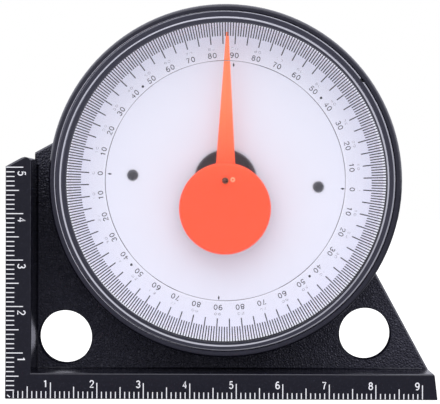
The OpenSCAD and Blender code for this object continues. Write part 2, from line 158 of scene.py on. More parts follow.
class RulerLook(bpy.types.PropertyGroup):
    ink: colour("Ink", "Colour of the stamped marks", (0.9, 0.9, 0.97))
    ink_depth: length("Ink depth", "How deep the marks are stamped", 0.03)
    mark_width: length("Mark width", "Width of a mark", 0.2)
    foot_zero: length("Foot zero", "Foot ruler's zero, from the foot's left end", -0.2155)
    side_zero: length("Side zero", "Side ruler's zero, from the foot's underside", -0.125)
    first_mark: count("First mark", "First mark that is stamped", 2)
    mark_start: length("Mark start", "From the edge to the marks, at zero", 0.15)
    pitch: length("Pitch", "Distance between marks", 1.0)
    foot_marks: count("Foot marks", "Marks along the foot", 90)
    side_marks: count("Side marks", "Marks up the side flange", 50)
    foot_small: length("Foot, small", "Length of a millimetre mark on the foot", 1.7)
    foot_half: length("Foot, half", "Length of a half-centimetre mark on the foot", 2.72)
    foot_full: length("Foot, full", "Length of a centimetre mark on the foot", 3.6)
    foot_fall: length("Foot, fall", "How much the foot's marks sink from one to the next", 0.0045)
    side_small: length("Side, small", "Length of a millimetre mark on the side", 1.95)
    side_half: length("Side, half", "Length of a half-centimetre mark on the side", 2.9)
    side_full: length("Side, full", "Length of a centimetre mark on the side", 3.82)
    digit_height: length("Digits", "Height of the rulers' digits", 1.78)
    digit_stroke: length("Stroke", "Width of the digits' strokes", 0.28)
    digit_gap: length("Gap", "From a centimetre mark to the middle of its digit", 1.1)
    digit_up: length("Digits up", "Middle of the foot's digits, above its underside", 3.35)
    digit_in: length("Digits in", "Middle of the side's digits, from its outer edge", 3.5)
    corner_right: length("Corner right", "Corner sign, from the foot's left end", 0.75)
    corner_up: length("Corner up", "Corner sign, above the foot's underside", 0.62)
    corner_long: length("Corner long", "Length of the corner sign", 0.75)
    corner_turn: turn("Corner turn", "Slant of the corner sign", -52)


class DialLook(bpy.types.PropertyGroup):
    turned: turn("Turn", "Turn of the print from upright, clockwise", 3.54)
    print_right: length("Print right", "How far the print sits right of the dial axis", 0.2)
    print_down: length("Print down", "How far the print sits below the dial axis", 0.15)
    # The border is a painted shade: a dark ring where the cup's wall lies in shade, set lower so
    # that it reaches further in at the top.
    border_inner: length("Border inner", "Inner radius of the print's black border", 34.52)
    border_outer: length("Border outer", "Outer radius of the print's black border", 34.95)
    border_down: length("Border down", "How far the border sits below the dial axis", 0.36)
    ink: colour("Ink", "Colour of the printed scale", (0.02, 0.018, 0.03))
    white: colour("White", "Colour of the dish", (0.812, 0.822, 0.938))
    lens_thickness: length("Lens", "Thickness of the lens over the scale", 1.8)
    window: length("Window", "Radius of the lens's thinner middle", 26.0)
    window_depth: length("Window depth", "Depth of the thinner middle", 0.3)
    raised: length("Raised edge", "Radius of the raised part of the lens", 35.4)
    ink_gap: length("Ink gap", "Air between the lens and its printed ink", 0.02)
    ink_thickness: length("Ink thickness", "Thickness of the printed ink", 0.02)
    tick_width: length("Tick width", "Width of a degree mark", 0.245)
    tick_outer: length("Tick outer", "Outer radius of the degree marks", 34.6)
    tick_inner: length("Tick inner", "Inner radius of a degree mark", 31.4)
    tick_long: length("Tick long", "Inner radius of every fifth mark", 29.65)
    digit_inner: length("Digit inner", "Radius of the numbers' feet", 26.65)
    digit_height: length("Digit height", "Height of the numbers", 1.24)
    digit_stroke: length("Digit stroke", "Width of the numbers' strokes", 0.2)
    digit_spread: times("Digit spread", "How much wider the numbers are than plain ones", 1.28)
    dot: length("Dot", "Radius of the dots at 45 degrees", 0.28)
    cross_inner: length("Cross inner", "Inner radius of the four pointed marks", 24.65)
    cross_outer: length("Cross outer", "Outer radius of the four pointed marks", 25.7)
    cross_width: length("Cross width", "Width of the pointed marks", 0.42)
    # The thin circle is a line painted at the lens's step, standing in for the step's edge and its
    # shadow.
    circle_width: length("Circle width", "Width of the thin printed circle", 0.16)
    circle_ink: colour("Circle ink", "Colour of the thin printed circle", (0.13, 0.12, 0.15))
    circle_pale: colour("Circle, pale", "Colour of the circle where it fades", (0.36, 0.35, 0.41))
    # The next four settings make a painted shadow of the numbers, set just outside them.
    echo_ink: colour("Echo", "Colour of the numbers' faint second image", (0.38, 0.37, 0.45))
    echo_inner: length("Echo inner", "Radius of the second image's feet", 28.4)
    echo_height: length("Echo height", "Height of the second image", 0.62)
    echo_spread: times("Echo spread", "How much wider the second image is than plain ones", 2.2)
    # These four sizes set the centres of the painted highlight lines on the lens's raised edge and
    # rim.
    raised_right: length("Raised edge right", "The raised edge's bright line, off the axis", -0.26)
    raised_up: length("Raised edge up", "The raised edge's bright line, above the axis", -0.24)
    rim_right: length("Rim right", "The outermost bright line, off the axis", -0.17)
    rim_up: length("Rim up", "The outermost bright line, above the axis", 0.02)


class PointerLook(bpy.types.PropertyGroup):
    orange: colour("Orange", "Colour of the disc", (1.0, 0.0745, 0.02))
    tip: colour("Tip", "Colour of the pointer near its tip", (1.0, 0.195, 0.078))
    # The pale ring beside the pin is a painted glint, a small painted highlight on the pointer's
    # front.
    scar: colour("Scar", "Colour of the pale ring beside the pin", (1.0, 0.5, 0.3))
    glow: share("Glow", "Light that the fluorescent plastic adds", 0.22)
    scar_right: length("Scar right", "The pale ring's centre, right of the pin", 1.62)
    scar_up: length("Scar up", "The pale ring's centre, above the pin", 0.24)
    scar_inner: length("Scar inner", "Inner radius of the pale ring", 0.24)
    scar_outer: length("Scar outer", "Outer radius of the pale ring", 0.5)


class StageLook(bpy.types.PropertyGroup):
    floor: colour("Floor", "Colour of the floor", (0.82, 0.82, 0.83))
    floor_in_gloss: colour("Floor in gloss", "Floor seen in glossy parts", (0.37, 0.37, 0.44))
    floor_glow: share("Floor glow", "White that the floor adds for the camera", 0.5)
    soft_light: share("Soft light", "Strength of the light from all round", 0.98)
    gloss_front: share("Gloss front", "Light that gloss shows from the camera's side", 0.38)
    gloss_ends: share("Gloss at the ends", "More of it towards the left and right", 0.34)
    gloss_tint: colour("Gloss tint", "Colour of the light that gloss shows", (0.87, 0.87, 1.0))
    beside: times("Gloss beside", "Light that gloss shows from the sides", 2.15)
    gloss_above: times("Gloss above", "Light that gloss shows from above", 3.6)
    key_power: FloatProperty(
        name="Key light", description="Power of the lamp above", default=2.0, unit="POWER"
    )


# ---- materials


class Value:
    """A socket that sums are written with."""

    def __init__(self, tree, socket):
        self.tree = tree
        self.socket = socket

    def _math(self, operation, *numbers):
        return self.tree.node("ShaderNodeMath", dict(enumerate(numbers)), operation=operation)

    def __add__(self, other):
        return self._math("ADD", self, other)

    __radd__ = __add__

    def __sub__(self, other):
        return self._math("SUBTRACT", self, other)

    def __rsub__(self, other):
        return self._math("SUBTRACT", other, self)

    def __mul__(self, other):
        return self._math("MULTIPLY", self, other)

    __rmul__ = __mul__

    def __rtruediv__(self, other):
        return self._math("DIVIDE", other, self)

    def __mod__(self, other):
        return self._math("MODULO", self, other)

    def __abs__(self):
        return self._math("ABSOLUTE", self)

    def root(self):
        return self._math("SQRT", self)

    def sine(self):
        return self._math("SINE", self)

    def cosine(self):
        return self._math("COSINE", self)

    def below(self, other):
        """1 where it is below the other, and 0 elsewhere."""
        return self._math("LESS_THAN", self, other)

    def larger(self, other):
        return self._math("MAXIMUM", self, other)

    def rises(self, start, end):
        """0 below start, 1 above end, and smooth between them."""
        return self.tree.node(
            "ShaderNodeMapRange",
            {"Value": self, "From Min": start, "From Max": end},
            interpolation_type="SMOOTHSTEP",
        )

    def band(self, low, high, blur):
        """1 between low and high, and 0 outside."""
        return self.rises(low - blur, low + blur) * (1 - self.rises(high - blur, high + blur))


class NodeTree:
    """A tree of nodes that sums are written in."""

    def __init__(self, tree):
        self.tree = tree
        tree.nodes.clear()

    def node(self, kind, inputs=None, out=0, **settings):
        """A new node: its settings are set first, then its sockets get values or links."""
        made = self.tree.nodes.new(kind)
        for key, value in settings.items():
            setattr(made, key, value)
        for key, value in (inputs or {}).items():
            self.feed(made.inputs[key], value)
        return Value(self, made.outputs[out])

    def feed(self, socket, value):
        if isinstance(value, Value):
            self.tree.links.new(value.socket, socket)
        elif socket.type == "RGBA" and len(value) == 3:
            socket.default_value = (*value, 1)
        else:
            socket.default_value = value

    def mix(self, first, second, factor):
        """A blend of two colours."""
        return self.node("ShaderNodeMix", {0: factor, 6: first, 7: second}, 2, data_type="RGBA")

    def ray(self, kind):
        """1 for rays of a kind, such as Is Camera Ray."""
        return self.node("ShaderNodeLightPath", out=kind)

    def place(self, kind="Object"):
        """Coordinates, which are the part's own frame unless another kind is named."""
        return self.node("ShaderNodeTexCoord", out=kind)

    def axes(self, kind="Object"):
        """The x, y and z of a point, as three values."""
        split = self.node("ShaderNodeSeparateXYZ", {0: self.place(kind)}).socket.node
        return [Value(self, socket) for socket in split.outputs]

    def finish(self, kind, socket, result):
        """The output node."""
        output = self.tree.nodes.new(kind)
        self.tree.links.new(result.socket, output.inputs[socket])


class Finish(NodeTree):
    """A material and the nodes in it."""

    def __init__(self, name):
        self.material = bpy.data.materials.new(name)
        self.material.use_nodes = True
        super().__init__(self.material.node_tree)

    def from_dial_axis(self, right=0.0, up=0.0):
        """Distance from the dial's axis, or from a line beside it."""
        away = (-DIAL_AXIS.x - right, 0, -DIAL_AXIS.z - up)
        parts = {0: self.place(), 1: (1, 0, 1), 2: away}
        flat = self.node("ShaderNodeVectorMath", parts, operation="MULTIPLY_ADD")
        return self.node("ShaderNodeVectorMath", {0: flat}, "Value", operation="LENGTH")

    def noise(self, size, detail=2.0, roughness=0.5):
        """Soft noise with lumps of about that size, in metres."""
        return self.node(
            "ShaderNodeTexNoise",
            {"Vector": self.place(), "Scale": 1 / size, "Detail": detail, "Roughness": roughness},
        )

    def bump(self, height, depth, strength=1.0):
        return self.node(
            "ShaderNodeBump", {"Height": height, "Distance": depth, "Strength": strength}
        )

    def surface(self, **inputs):
        """The plain shader, with its sockets named as words_with_lines."""
        named = {key.replace("_", " "): value for key, value in inputs.items()}
        return self.node("ShaderNodeBsdfPrincipled", named)

    def blend(self, first, second, factor):
        """A blend of two shaders."""
        return self.node("ShaderNodeMixShader", {0: factor, 1: first, 2: second})

    def open_air(self):
        """A shader that lets everything through."""
        return self.node("ShaderNodeBsdfTransparent", {"Color": WHITE})

    def done(self, shader):
        self.finish("ShaderNodeOutputMaterial", "Surface", shader)
        return self.material

    def coated(self, **inputs):
        """The finished material, with nothing but the plain shader."""
        return self.done(self.surface(**inputs))


def frame_black(look, dial):
    """Black plastic: smooth flanges, a ring face painted lighter as a painted sheen, a grained
    web, a painted highlight on the lip of the bore and dull walls in the holes.
    """
    finish = Finish("frame_black")
    across, depth, height = finish.axes()
    radius = finish.from_dial_axis()
    rim_highlight_line = finish.from_dial_axis(dial.rim_right, dial.rim_up)
    behind_foot = depth - FRAME_LOW.y
    tenth = 0.1 * MM
    on_web = (
        abs(depth).band(look.web_half - 0.8 * tenth, look.web_half + 0.8 * tenth, 0.3 * tenth)
        * radius.rises(look.ring + tenth, look.ring + 3 * tenth)
        * (across - FRAME_LOW.x).rises(look.flange, look.flange + 3 * tenth)
        * (height - FRAME_LOW.z).rises(look.flange, look.flange + 3 * tenth)
    )
    # The ring's front face takes the lighter colour, a painted sheen.
    on_ring = radius.band(look.bore + tenth, look.ring, tenth) * (
        1 - behind_foot.rises(look.ring_back, look.ring_back + tenth)
    )
    # A painted highlight on the bore's edge, which carries on the lens's painted rim line.
    on_lip_highlight = (
        radius.rises(look.bore - 0.5 * tenth, look.bore - 0.2 * tenth)
        * (1 - rim_highlight_line.rises(look.bore - 0.5 * tenth, look.bore))
        * (1 - behind_foot.rises(look.ring_back + 2 * tenth, look.ring_back + 3 * tenth))
    )
    cells = finish.node(
        "ShaderNodeTexVoronoi",
        {"Vector": finish.place(), "Scale": 1 / look.grain_size, "Randomness": 1.0},
        out="Distance",
        feature="DISTANCE_TO_EDGE",
    )
    grain = cells.rises(0.0, 0.35) * 0.6 + finish.noise(look.grain_size / 3, 3.0) * 0.4
    fine = finish.noise(0.25 * MM, 3.0)
    smudges = finish.noise(9 * MM, 3.0)
    waves = finish.noise(2.4 * MM, 2.0)
    specks = finish.noise(0.7 * MM, 3.0, 0.7).rises(0.5, 0.75) * 0.5
    shade = finish.mix(look.black, look.ring_black, on_ring)
    shade = finish.mix(shade, look.web_black, on_web)
    shade = finish.mix(shade, toned(look.web_black, 2.6), specks * (0.3 + on_web * 0.7))
    relief = grain * on_web + fine * 0.04 + waves * 0.25
    plastic = finish.surface(
        Base_Color=finish.mix(shade, look.lip, on_lip_highlight),
        Roughness=0.1 + on_web * 0.3 + smudges * 0.09,
        Specular_IOR_Level=0.34,
        Normal=finish.bump(relief, 0.3 * MM, 1.0),
    )
    walls = None
    for hole in HANGING_HOLES:
        x, _, z = hole["pos_m"]
        edge = hole["dims"]["r_mm"] * MM + 0.5 * tenth
        reach = finish.from_dial_axis(x - DIAL_AXIS.x, z - DIAL_AXIS.z)
        wall = 1 - reach.rises(edge, edge + 0.7 * tenth)
        walls = walls.larger(wall) if walls else wall
    dull = finish.node("ShaderNodeBsdfDiffuse", {"Color": look.black})
    return finish.done(finish.blend(plastic, dull, walls))


def plain_black(name, shade, rough):
    """Moulded black plastic with a faint texture."""
    finish = Finish(name)
    fine = finish.noise(0.3 * MM, 3.0)
    tone = finish.mix(shade, toned(shade, 1.6), finish.noise(4 * MM, 3.0))
    return finish.coated(
        Base_Color=tone,
        Roughness=rough + fine * 0.1,
        Specular_IOR_Level=0.35,
        Normal=finish.bump(fine, 0.02 * MM, 0.5),
    )


def dish_white(look):
    """White plastic with a satin face and a faint mottle."""
    finish = Finish("dish_white")
    mottle = finish.noise(5 * MM, 4.0)
    shade = finish.mix(look.white, toned(look.white, 0.975), mottle)
    return finish.coated(
        Base_Color=shade,
        Roughness=0.5 + mottle * 0.1,
        Specular_IOR_Level=0.3,
        Normal=finish.bump(finish.noise(0.4 * MM, 2.0), 0.01 * MM, 0.3),
    )


def lens_clear(look):
    """Clear moulded lens: frosted within, hazy over the scale, dark outside, with painted
    highlights as bright lines on its raised edge and rim.
    """
    finish = Finish("lens_clear")
    radius = finish.from_dial_axis()
    shade_ring_radius = finish.from_dial_axis(look.print_right, -look.border_down)
    raised_radius = finish.from_dial_axis(look.raised_right, look.raised_up)
    rim_radius = finish.from_dial_axis(look.rim_right, look.rim_up)
    rim = (LENS_HIGH.x - LENS_LOW.x) / 2
    blur = 0.03 * MM
    # Painted highlights: bright lines on the raised edge and the rim, centred off the axis.
    raised_highlight_line = raised_radius.band(look.raised - 0.18 * MM, look.raised + 0.17 * MM, blur)
    rim_highlight_line = rim_radius.rises(rim - 0.22 * MM, rim - 0.16 * MM)
    lines = raised_highlight_line * 0.85 + rim_highlight_line * 0.55
    # The dark flange also starts at the painted shade ring, which sits below the axis.
    flange = radius.rises(look.raised - 0.55 * MM, look.raised - 0.5 * MM).larger(
        shade_ring_radius.rises(look.border_inner, look.border_inner + 0.06 * MM)
    )
    over_scale = radius.band(look.window, look.raised - 0.6 * MM, 0.15 * MM)
    haze = over_scale * (0.004 + finish.noise(1.3 * MM, 4.0, 0.6) * 0.03) + 0.005
    milky = finish.surface(
        Base_Color=finish.mix(LENS_MILK, finish.mix(LENS_DARK, LENS_HIGHLIGHT, lines), flange),
        Roughness=0.35,
    )
    inner_face = finish.axes()[1].rises(LENS_LOW.y + 1.2 * MM, LENS_LOW.y + 1.3 * MM)
    frosted = inner_face * (1 - radius.rises(look.window - 0.6 * MM, look.window - 0.3 * MM))
    clear = finish.surface(
        Base_Color=(0.985, 0.985, 1.0), Roughness=frosted * 0.22, IOR=1.4, Transmission_Weight=1.0
    )
    body = finish.blend(clear, milky, haze.larger(flange * 0.93))
    unseen = finish.ray("Is Shadow Ray").larger(finish.ray("Is Diffuse Ray"))
    step = radius.band(look.window - blur, look.window + 0.33 * MM, 0.02 * MM)
    return finish.done(finish.blend(body, finish.open_air(), unseen.larger(step)))


def pointer_orange(look):
    """Bright orange plastic, paler towards the pointer's thin tip, with a painted glint: a pale
    ring beside the pin.
    """
    finish = Finish("pointer_orange")
    height = finish.axes()[2]
    tip_share = height.rises(DIAL_AXIS.z - 2 * MM, DIAL_AXIS.z + 22 * MM)
    shade = finish.mix(look.orange, look.tip, tip_share)
    fine = finish.noise(0.5 * MM, 3.0)
    # A painted glint: a pale ring beside the pin, on the front only.
    from_glint = finish.from_dial_axis(look.scar_right, look.scar_up)
    scar = from_glint.band(look.scar_inner, look.scar_outer, 0.06 * MM)
    on_front = 1 - finish.axes()[1].rises(POINTER_LOW.y + 0.2 * MM, POINTER_LOW.y + 0.3 * MM)
    shade = finish.mix(shade, look.scar, scar * on_front * (0.4 + fine * 0.6))
    return finish.coated(
        Base_Color=shade,
        Roughness=0.38 + fine * 0.1,
        Specular_IOR_Level=0.2,
        Emission_Color=shade,
        Emission_Strength=look.glow,
        Normal=finish.bump(fine, 0.01 * MM, 0.4),
    )


def hub_dark():
    """Dark plastic hub with fine turned rings."""
    finish = Finish("hub_dark")
    ring_pitch = 0.5 * MM
    rings = (finish.from_dial_axis() * (2 * math.pi / ring_pitch)).sine()
    tone = finish.mix(HUB_DARK, HUB_LIGHT, rings * 0.5 + 0.5)
    return finish.coated(
        Base_Color=tone,
        Roughness=0.5 + finish.noise(0.5 * MM) * 0.1,
        Specular_IOR_Level=0.2,
        Normal=finish.bump(rings, 0.05 * MM, 0.6),
    )


def bare_metal(name, shade, rough):
    """Turned or rolled metal."""
    finish = Finish(name)
    streaks = finish.noise(0.15 * MM, 3.0, 0.6)
    tone = finish.mix(shade, toned(shade, 0.8), finish.noise(2 * MM, 3.0))
    return finish.coated(
        Base_Color=tone,
        Metallic=1.0,
        Roughness=rough + streaks * 0.15,
        Normal=finish.bump(streaks, 0.01 * MM, 0.4),
    )


def ferrite(look):
    """Dull strip magnet with a sandy skin."""
    finish = Finish("magnet_ferrite")
    sand = finish.noise(0.2 * MM, 4.0, 0.7)
    tone = finish.mix(look.magnet, toned(look.magnet, 1.8), sand.rises(0.45, 0.75))
    return finish.coated(
        Base_Color=tone,
        Roughness=0.62 + sand * 0.2,
        Normal=finish.bump(sand, 0.03 * MM, 0.5),
    )


def ink(name, shade, rough):
    """Printed or stamped ink, a little uneven."""
    finish = Finish(name)
    wear = finish.noise(0.6 * MM, 3.0)
    tone = finish.mix(shade, toned(shade, 0.86), wear)
    return finish.coated(
        Base_Color=tone,
        Roughness=rough + wear * 0.1,
        Specular_IOR_Level=0.3,
        Normal=finish.bump(wear, 0.01 * MM, 0.3),
    )


def faded_ink(look):
    """Grey line painted at the lens's step, for the step's edge and its shadow; it fades in
    places.
    """
    finish = Finish("circle_ink")
    fading = finish.noise(11 * MM, 1.0).rises(0.42, 0.62)
    return finish.coated(
        Base_Color=finish.mix(look.circle_ink, look.circle_pale, fading),
        Roughness=0.5 + fading * 0.1,
        Specular_IOR_Level=0.3,
    )


def echo_ink(look):
    """Broken pale grey digits, a painted shadow of the numbers set just outside them."""
    finish = Finish("echo_ink")
    broken = finish.noise(0.9 * MM, 2.0, 0.7).rises(0.46, 0.62)
    return finish.coated(
        Base_Color=finish.mix(look.echo_ink, look.white, broken),
        Roughness=0.5 + broken * 0.1,
        Specular_IOR_Level=0.3,
    )


# ---- mesh helpers


def as_mesh(work):
    """A mesh of what was gathered, with its faces outward."""
    bmesh.ops.recalc_face_normals(work, faces=work.faces)
    mesh = bpy.data.meshes.new("work")
    work.to_mesh(mesh)
    work.free()
    return mesh


def new_object(name, mesh, material, body):
    """A finished piece, riding on its body."""
    mesh.name = name
    piece = bpy.data.objects.new(name, mesh)
    bpy.context.scene.collection.objects.link(piece)
    mesh.materials.clear()
    mesh.materials.append(material)
    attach(piece, body)
    return piece


def evaluated_mesh(holder):
    """A plain mesh of an object with its modifiers, after which the object goes."""
    graph = bpy.context.evaluated_depsgraph_get()
    mesh = bpy.data.meshes.new_from_object(holder.evaluated_get(graph), depsgraph=graph)
    bpy.data.objects.remove(holder)
    return mesh


def merged_copy(node, reshape=None):
    """A copy of a solid's mesh with its doubles merged, and with smooth rounds and flat faces."""
    work = bmesh.new()
    work.from_mesh(frame["nodes"][node].data)
    bmesh.ops.remove_doubles(work, verts=work.verts, dist=0.0005 * MM)
    bmesh.ops.dissolve_degenerate(work, edges=work.edges, dist=0.0002 * MM)
    if reshape:
        reshape(work)
    mesh = bpy.data.meshes.new("solid")
    work.to_mesh(mesh)
    work.free()
    shade_rounds(mesh, math.cos(math.radians(38)))
    return mesh


def shade_rounds(mesh, least_dot):
    """Smooth normals over rounds, in which a large flat outweighs the small faces beside it."""
    least_tilt = 1 / 400
    least_offset = 0.02 * MM
    faces = mesh.polygons
    planes = []
    areas = {}
    around = [[] for _ in mesh.vertices]
    for face in faces:
        offset = face.center.dot(face.normal)
        tilt = (round(part / least_tilt) for part in face.normal)
        plane = (*tilt, round(offset / least_offset))
        planes.append(plane)
        areas[plane] = areas.get(plane, 0) + face.area / MM**2
        for vert in face.vertices:
            around[vert].append(face.index)
    normals = []
    for face in faces:
        for vert in face.vertices:
            near = {
                planes[i]: faces[i].normal
                for i in around[vert]
                if faces[i].normal.dot(face.normal) > least_dot
            }
            blend = sum((side * areas[plane] ** 2 for plane, side in near.items()), Vector())
            normals.append(blend.normalized())
    mesh.shade_smooth()
    mesh.normals_split_custom_set(normals)


def dress(node, name, material, reshape=None):
    """Puts a refined copy in a solid's place."""
    body = frame["nodes"][node]["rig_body"]
    piece = new_object(name, merged_copy(node, reshape), material, body)
    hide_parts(node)
    return piece


def paint(node, material):
    """Gives a solid that keeps its own mesh its finish."""
    mesh = frame["nodes"][node].data
    mesh.materials.clear()
    mesh.materials.append(material)


# ---- digits


DIGIT_WIDTH = 0.54
DIGIT_GAP = 0.09


def bow(cx, cy, rx, ry, start, end):
    """Points of an elliptic arc, with its angles in degrees."""
    steps = max(4, round(abs(end - start) / 18))
    angles = [math.radians(start + (end - start) * i / steps) for i in range(steps + 1)]
    return [(cx + rx * math.cos(a), cy + ry * math.sin(a)) for a in angles]


def digit_strokes(digit):
    """Middle lines of a plain digit's strokes, in a box of the digits' width and 1 high."""
    six = [
        bow(0.27, 0.3, 0.25, 0.28, 0, 360),
        bow(0.3, 0.46, 0.28, 0.52, 60, 180) + [(0.02, 0.3)],
    ]
    return {
        "0": [bow(0.27, 0.5, 0.25, 0.48, 0, 360)],
        "1": [[(0.32, 0.0), (0.32, 0.98)], [(0.32, 0.96), (0.24, 0.84), (0.1, 0.78)]],
        "2": [bow(0.27, 0.72, 0.24, 0.26, 175, -30) + [(0.02, 0.02), (0.52, 0.02)]],
        "3": [
            bow(0.26, 0.75, 0.22, 0.23, 160, -90),
            bow(0.26, 0.27, 0.25, 0.25, 90, -165),
        ],
        "4": [[(0.39, 0.0), (0.39, 0.97), (0.02, 0.3), (0.54, 0.3)]],
        "5": [[(0.47, 0.98), (0.13, 0.98), (0.07, 0.52)] + bow(0.26, 0.32, 0.25, 0.31, 130, -155)],
        "6": six,
        "7": [[(0.02, 0.98), (0.52, 0.98), (0.34, 0.6), (0.22, 0.0)]],
        "8": [
            bow(0.27, 0.75, 0.2, 0.23, 0, 360),
            bow(0.27, 0.27, 0.25, 0.26, 0, 360),
        ],
        "9": [[(DIGIT_WIDTH - x, 1 - y) for x, y in stroke] for stroke in six],
    }[digit]


def digit_mesh(digit, height, stroke, thickness, spread=1.0):
    """One digit as flattened strokes: x to its right, z up, centred on its box."""
    curve = bpy.data.curves.new("digit", "CURVE")
    curve.dimensions = "3D"
    curve.bevel_depth = stroke / 2
    curve.bevel_resolution = 1
    curve.use_fill_caps = True
    reach = height - stroke
    for stroke_points in digit_strokes(digit):
        closed = math.dist(stroke_points[0], stroke_points[-1]) < 1e-6
        points = stroke_points[:-1] if closed else stroke_points
        spline = curve.splines.new("POLY")
        spline.points.add(len(points) - 1)
        spline.use_cyclic_u = closed
        for point, (x, z) in zip(spline.points, points):
            point.co = ((x - DIGIT_WIDTH / 2) * reach * spread, 0, (z - 0.5) * reach, 1)
    holder = bpy.data.objects.new("digit", curve)
    bpy.context.scene.collection.objects.link(holder)
    mesh = evaluated_mesh(holder)
    bpy.data.curves.remove(curve)
    mesh.transform(Matrix.Scale(thickness / stroke, 4, (0, 1, 0)))
    return mesh


class Lettering:
    """Numbers gathered into one mesh."""

    def __init__(self, height, stroke, thickness, spread=1.0):
        self.work = bmesh.new()
        self.advance = (DIGIT_WIDTH * spread + DIGIT_GAP) * height + stroke / 2
        self.cut = {d: digit_mesh(d, height, stroke, thickness, spread) for d in "0123456789"}

    def add(self, number, placed):
        """Sets a number, centred, at a matrix."""
        digits = str(number)
        for i, digit in enumerate(digits):
            shift = (i - (len(digits) - 1) / 2) * self.advance
            start = len(self.work.verts)
            self.work.from_mesh(self.cut[digit])
            self.work.verts.ensure_lookup_table()
            bmesh.ops.transform(
                self.work,
                matrix=placed @ Matrix.Translation((shift, 0, 0)),
                verts=self.work.verts[start:],
            )

    def finish(self):
        for cut in self.cut.values():
            bpy.data.meshes.remove(cut)
        return as_mesh(self.work)


# ---- repeated marks


class MarkTree(NodeTree):
    """A geometry tree that sets box-shaped marks, and the inputs that its modifier takes."""

    def __init__(self, name, numbers, material):
        super().__init__(bpy.data.node_groups.new(name, "GeometryNodeTree"))
        self.material = material
        sides = self.tree.interface
        sides.new_socket("Geometry", in_out="OUTPUT", socket_type="NodeSocketGeometry")
        kinds = {"Count": "NodeSocketInt", "Place": "NodeSocketVector", "Turn": "NodeSocketVector"}
        kinds |= {label: "NodeSocketFloat" for label in numbers}
        self.sockets = {
            label: sides.new_socket(label, in_out="INPUT", socket_type=kind)
            for label, kind in kinds.items()
        }
        self.inputs = self.tree.nodes.new("NodeGroupInput")

    def given(self, label):
        return Value(self, self.inputs.outputs[label])

    def index(self):
        return self.node("GeometryNodeInputIndex")

    def vector(self, **parts):
        return self.node("ShaderNodeCombineXYZ", parts)

    def every(self, count, index, yes, no):
        """yes for each count-th mark, and no for the others."""
        return (index % count).below(0.5) * (yes - no) + no

    def boxes(self, position, rotation, height):
        """Boxes on points, made real, placed and painted."""
        size = self.vector(X=self.given("Width"), Y=self.given("Depth"), Z=height)
        spots = {"Count": self.given("Count"), "Position": position}
        points = self.node("GeometryNodePoints", spots)
        box = self.node("GeometryNodeMeshCube", {"Size": (1, 1, 1)})
        boxes = {"Points": points, "Instance": box, "Rotation": rotation, "Scale": size}
        set_out = self.node("GeometryNodeInstanceOnPoints", boxes)
        real = self.node("GeometryNodeRealizeInstances", {"Geometry": set_out})
        move = {"Translation": self.given("Place"), "Rotation": self.given("Turn")}
        placed = self.node("GeometryNodeTransform", {"Geometry": real} | move)
        paint = {"Geometry": placed, "Material": self.material}
        painted = self.node("GeometryNodeSetMaterial", paint)
        self.finish("NodeGroupOutput", "Geometry", painted)

    def mesh(self, values):
        """The marks with these values, as a plain mesh."""
        holder = bpy.data.objects.new("marks", bpy.data.meshes.new("marks"))
        bpy.context.scene.collection.objects.link(holder)
        marks = holder.modifiers.new("marks", "NODES")
        marks.node_group = self.tree
        for label, value in values.items():
            marks[self.sockets[label].identifier] = value
        return evaluated_mesh(holder)


def ruler_tree(material):
    """Marks along x that rise along z, longer at each fifth and tenth."""
    place_and_size = ("First", "Pitch", "Width", "Depth", "Start")
    heights = ("Small", "Half", "Full", "Fall", "Rise")
    tree = MarkTree("ruler marks", place_and_size + heights, material)
    index = tree.index() + tree.given("First")
    start = tree.given("Start")
    fifth = tree.every(5, index, tree.given("Half"), tree.given("Small"))
    tenth = tree.every(10, index, tree.given("Full"), fifth)
    height = tenth - index * tree.given("Fall") - start
    middle = height * 0.5 + start
    position = tree.vector(X=index * tree.given("Pitch"), Z=middle * tree.given("Rise"))
    tree.boxes(position, (0, 0, 0), height)
    return tree


def ring_tree(material):
    """Marks round a circle, longer at each fifth."""
    tree = MarkTree("ring marks", ("Width", "Depth", "Outer", "Inner", "Long"), material)
    angle = tree.index() * (2 * math.pi / tree.given("Count"))
    inner = tree.every(5, tree.index(), tree.given("Long"), tree.given("Inner"))
    height = tree.given("Outer") - inner
    middle = height * 0.5 + inner
    position = tree.vector(X=angle.sine() * middle, Z=angle.cosine() * middle)
    tree.boxes(position, tree.vector(Y=angle), height)
    return tree


# ---- operators


class Make(bpy.types.Operator):
    """Base of the part's operators."""

    bl_options = {"REGISTER", "UNDO"}


class INCLINOMETER_OT_frame(Make):
    """Finish the ruler frame and its magnets"""

    bl_idname = "inclinometer.frame"
    bl_label = "Frame and magnets"

    def execute(self, context):
        look = context.scene.inclinometer_frame
        sink = context.scene.inclinometer_ruler.ink_depth

        def lower_face(work):
            """Sets the front faces back by the marks' depth, so that the marks lie flush."""
            for vert in work.verts:
                if vert.co.y < FRAME_LOW.y + sink:
                    vert.co.y = FRAME_LOW.y + sink

        black = frame_black(look, context.scene.inclinometer_dial)
        dress("frame", "frame_moulding", black, lower_face)
        magnet = ferrite(look)
        for node in ("base_magnet_front", "base_magnet_rear"):
            paint(node, magnet)
        return {"FINISHED"}


